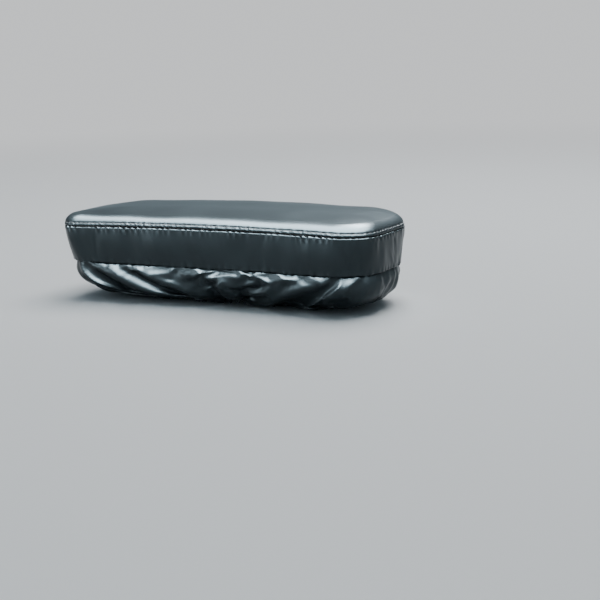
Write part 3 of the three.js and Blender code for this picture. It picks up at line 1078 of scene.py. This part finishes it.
class ARMREST_PAD_OT_hem(Operator):
    """Hem: the elastic inside the fold, and the stitches that hold the fold shut"""

    bl_idname = "armrest_pad.hem"
    bl_label = "Hem Elastic and Stitches"

    def execute(self, context):
        sewing, skirt = context.scene.armrest_pad_sewing, context.scene.armrest_pad_skirt
        rings = settled_rings(context.scene)
        run = np.linalg.norm(np.diff(rings[::-1], axis=0), axis=2).mean(axis=1).cumsum()
        run = np.concatenate([[0], run])

        def at(distance):
            """The ring at a distance from the hem's edge."""
            level = np.interp(distance, run, np.arange(len(run)))
            low = int(level)
            a, b = rings[-1 - low], rings[-2 - low]
            return a + (b - a) * (level - low)

        casing_middle = np.array([0, 0, HEM_CASING / 2])
        half = np.array([0, 0, skirt.elastic_thickness / 2])
        near = 1.2 * MM
        far = near + skirt.elastic_width
        section = []
        for k in range(5):
            section.append(at(near + (far - near) * k / 4) + casing_middle - half)
        for k in range(5):
            section.append(at(far + (near - far) * k / 4) + casing_middle + half)
        section.append(section[0])
        elastic = ring_mesh("hem_elastic_ribbon", np.array(section))
        with edited(elastic.data) as bm:
            bmesh.ops.remove_doubles(bm, verts=bm.verts, dist=1e-6)
        finish_piece(elastic, "elastic", "hem_elastic")
        count = round(girth_of(rings[-1]) / sewing.hem_pitch) * 2
        where = np.arange(count) / count * SKIRT_STATIONS
        zigzag_near, zigzag_far = 5.0 * MM, 7.6 * MM
        near_row, far_row = at(zigzag_near), at(zigzag_far)
        index = where.astype(int) % SKIRT_STATIONS
        onward = (index + 1) % SKIRT_STATIONS
        part = (where - np.floor(where))[:, None]
        rows = [row[index] + (row[onward] - row[index]) * part for row in (near_row, far_row)]
        odd = (np.arange(count) % 2)[:, None]
        knots = rows[0] * (1 - odd) + rows[1] * odd
        starts, ends = knots, np.roll(knots, -1, axis=0)
        down = closed_normals(np.array([near_row, (near_row + far_row) / 2, far_row]))[1]
        down = down * np.where(down[:, 2:] > 0, -1.0, 1.0)
        lift = down[index]
        offset = lift * (0.15 * MM)
        rise = 0.2 * MM
        stitches = stitch_mesh(
            "hem_stitches", starts + offset, ends + offset, lift, sewing.thread, rise
        )
        finish_piece(stitches, "thread", "hem_thread")
        return {"FINISHED"}


class ARMREST_PAD_OT_seams(Operator):
    """Seams: the topstitches, and the threads that close the upper and lower seams"""

    bl_idname = "armrest_pad.seams"
    bl_label = "Seam Stitches"

    def execute(self, context):
        shape, sewing = context.scene.armrest_pad_shape, context.scene.armrest_pad_sewing
        rims = Rims(shape, STATIONS)
        rings, run = top_panel_rings(rims, shape)
        normals = closed_normals(rings)
        row = int(np.argmin(np.abs(run - sewing.topstitch_inset)))
        sunk = rings[row] - normals[row] * (sewing.topstitch_dent * 0.75)
        starts, ends, share = stitch_ends(sunk, sewing.stitch_pitch, sewing.stitch_gap)
        index = (share * STATIONS).astype(int) % STATIONS
        lift = normals[row][index]
        top = stitch_mesh("topstitches", starts, ends, lift, sewing.thread, 0.25 * MM)
        finish_piece(top, "thread", "topstitch_thread")
        rows = (
            ("upper_seam", UPPER_THREAD_INSET, UPPER_SEAM),
            ("lower_seam", LOWER_THREAD_INSET, LOWER_SEAM - 0.3 * MM),
        )
        for name, inset, z in rows:
            line = rims.ring(inset, z)
            outward = unit(line - rims.ring(inset + 1 * MM, z))
            starts, ends, share = stitch_ends(line, sewing.stitch_pitch, 0.1 * MM)
            index = (share * STATIONS).astype(int) % STATIONS
            lift = outward[index]
            seam = stitch_mesh(f"{name}_stitches", starts, ends, lift, sewing.thread, 0.15 * MM)
            finish_piece(seam, "thread", f"{name}_thread")
        return {"FINISHED"}


class ARMREST_PAD_OT_inside(Operator):
    """Inside: the woven lining below the foam, and the finish of the two foam layers"""

    bl_idname = "armrest_pad.inside"
    bl_label = "Lining and Foam"

    def execute(self, context):
        shape = context.scene.armrest_pad_shape
        rims = Rims(shape, LINING_STATIONS)
        crease_seed = 23
        rng = np.random.default_rng(crease_seed)
        to_spine = rims.rim_at(LOWER_SEAM)[2]
        face = LINING_FACE + 0.8 * MM
        levels = [(4.3 * MM, LOWER_SEAM), (13.2 * MM, LOWER_SEAM), (15.6 * MM, face)]
        rings = [rims.ring(inset, z) for inset, z in levels]
        start = levels[-1][0] / to_spine
        steps = 16
        for k in range(1, steps + 1):
            share = start + (0.96 - start) * k / steps
            rings.append(rims.ring(0, face, spine_share=share))
        grid = np.array(rings)
        along, across = grid[:, :, 0] / shape.length, grid[:, :, 1] / shape.width
        creases = sum(waves(rng, along + 0.3 * n * across, 2, 9, 4) for n in (1, 2))
        crease_height, lining_thickness = 0.12 * MM, 0.6 * MM
        grid[3:, :, 2] -= crease_height * np.abs(creases[3:])
        lining = ring_mesh("bottom_lining_cloth", grid, fill_last=True)
        thicken(lining, lining_thickness)
        finish_piece(lining, "lining", "bottom_lining")
        for node in ("comfort_foam", "support_foam"):
            dress(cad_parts[node], node)
        return {"FINISHED"}


class ARMREST_PAD_OT_stage(Operator):
    """Stage: pale floor, soft studio light and the camera"""

    bl_idname = "armrest_pad.stage"
    bl_label = "Stage"

    def execute(self, context):
        colours = context.scene.armrest_pad_colours
        floor_level = min(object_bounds()[0][2], 0.0)
        bpy.ops.object.select_all(action="DESELECT")
        bpy.ops.mesh.primitive_plane_add(size=FLOOR_SIZE, location=(0, 0, floor_level))
        floor = context.active_object
        floor.name = "studio_floor"
        material, tree, shader = new_material("studio_floor")
        look = {
            "Base Color": tree.shades(tree.noise(3.0), colours.floor, 0.985, 1.0),
            "Roughness": 0.9,
            "Specular IOR Level": 0.0,
        }
        tree.feed(shader, look)
        fade_to_backdrop(tree, shader)
        floor.data.materials.append(material)
        floor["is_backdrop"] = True
        add_world(context)
        add_light("ceiling", CEILING_PLACE, (0, 0, 0), CEILING_SIZE, CEILING_WATTS)
        for name, place, size, power in GLOSS_LIGHTS:
            gloss = add_light(name, place, GLOSS_AIM, size, power)
            gloss.data.color = GLOSS_TINT
            gloss.visible_diffuse = False
        add_camera(context)
        return {"FINISHED"}


def fade_to_backdrop(tree, shader):
    """The far floor takes on the backdrop's colour, so that no horizon shows."""
    away = tree.add("VectorMath", {0: tree.coordinates()}, operation="LENGTH").outputs["Value"]
    span = {"Value": away, "From Min": FADE_START, "From Max": FADE_END}
    fade = tree.add("MapRange", span, interpolation_type="SMOOTHSTEP").outputs["Result"]
    seen = tree.add("LightPath").outputs["Is Camera Ray"]
    part = tree.add("Math", {0: fade, 1: seen}, operation="MULTIPLY").outputs["Value"]
    glow = tree.add("Emission", {"Color": (*BACKDROP, 1.0)}).outputs["Emission"]
    mix = tree.add("MixShader", {0: part, 1: shader.outputs["BSDF"], 2: glow})
    output = next(node for node in tree.nodes if node.type == "OUTPUT_MATERIAL")
    tree.feed(output, {"Surface": mix.outputs["Shader"]})


def add_world(context):
    """A soft surround that lights the pad, and a paler backdrop behind it."""
    world = bpy.data.worlds.new("studio")
    tree = ShaderTree(world)
    seen = tree.add("LightPath").outputs["Is Camera Ray"]
    tree.feed(tree.nodes["Background"], {"Color": tree.blend(seen, SURROUND, BACKDROP)})
    context.scene.world = world


def add_light(name, place, aim, size, power):
    """A rectangular soft light, and the light object."""
    data = bpy.data.lights.new(name, "AREA")
    data.shape = "RECTANGLE"
    data.size, data.size_y = size
    data.energy = power
    light = new_object(name, data)
    light.location = place
    light.rotation_euler = (Vector(aim) - Vector(place)).to_track_quat("-Z", "Y").to_euler()
    light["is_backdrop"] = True
    return light


def add_camera(context):
    """The camera, a little above the pad on its outer side, towards the front."""
    data = bpy.data.cameras.new("camera")
    data.lens = CAMERA_LENS
    data.sensor_width = CAMERA_SENSOR
    data.clip_start = 0.01
    camera = new_object("camera", data)
    camera.location = CAMERA_PLACE
    level = Vector(CAMERA_WAY).to_track_quat("-Z", "Y").to_matrix()
    aim = level @ Matrix.Rotation(-CAMERA_ROLL, 3, "Z")
    camera.rotation_euler = aim.to_euler()
    context.scene.camera = camera


class ARMREST_PAD_PT_pieces(Panel):
    """Lists the pad's pieces and their sizes."""

    bl_idname = "ARMREST_PAD_PT_pieces"
    bl_label = "Armrest Pad"
    bl_space_type = "VIEW_3D"
    bl_region_type = "UI"
    bl_category = "Armrest Pad"

    def draw(self, context):
        layout = self.layout
        for operator in OPERATORS:
            layout.operator(operator.bl_idname)
        for name in GROUPS:
            settings = getattr(context.scene, name)
            column = layout.column()
            for prop in settings.__annotations__:
                column.prop(settings, prop)


GROUPS = {
    "armrest_pad_shape": ArmrestPadShape,
    "armrest_pad_sewing": ArmrestPadSewing,
    "armrest_pad_skirt": ArmrestPadSkirt,
    "armrest_pad_colours": ArmrestPadColours,
}

OPERATORS = (
    ARMREST_PAD_OT_inside,
    ARMREST_PAD_OT_top_panel,
    ARMREST_PAD_OT_side_band,
    ARMREST_PAD_OT_skirt,
    ARMREST_PAD_OT_hem,
    ARMREST_PAD_OT_seams,
    ARMREST_PAD_OT_stage,
)


def register():
    """Adds the classes, and the settings to the scene."""
    for group in GROUPS.values():
        bpy.utils.register_class(group)
    for operator in OPERATORS:
        bpy.utils.register_class(operator)
    bpy.utils.register_class(ARMREST_PAD_PT_pieces)
    for name, group in GROUPS.items():
        setattr(bpy.types.Scene, name, PointerProperty(type=group))


def unregister():
    """Takes the settings and the classes away again."""
    for name in GROUPS:
        delattr(bpy.types.Scene, name)
    bpy.utils.unregister_class(ARMREST_PAD_PT_pieces)
    for cls in (*OPERATORS, *GROUPS.values()):
        bpy.utils.unregister_class(cls)


def main():
    """Builds every piece in order."""
    register()
    bpy.ops.armrest_pad.inside()
    bpy.ops.armrest_pad.top_panel()
    bpy.ops.armrest_pad.side_band()
    bpy.ops.armrest_pad.skirt()
    bpy.ops.armrest_pad.hem()
    bpy.ops.armrest_pad.seams()
    bpy.ops.armrest_pad.stage()


if __name__ == "__main__":
    main()
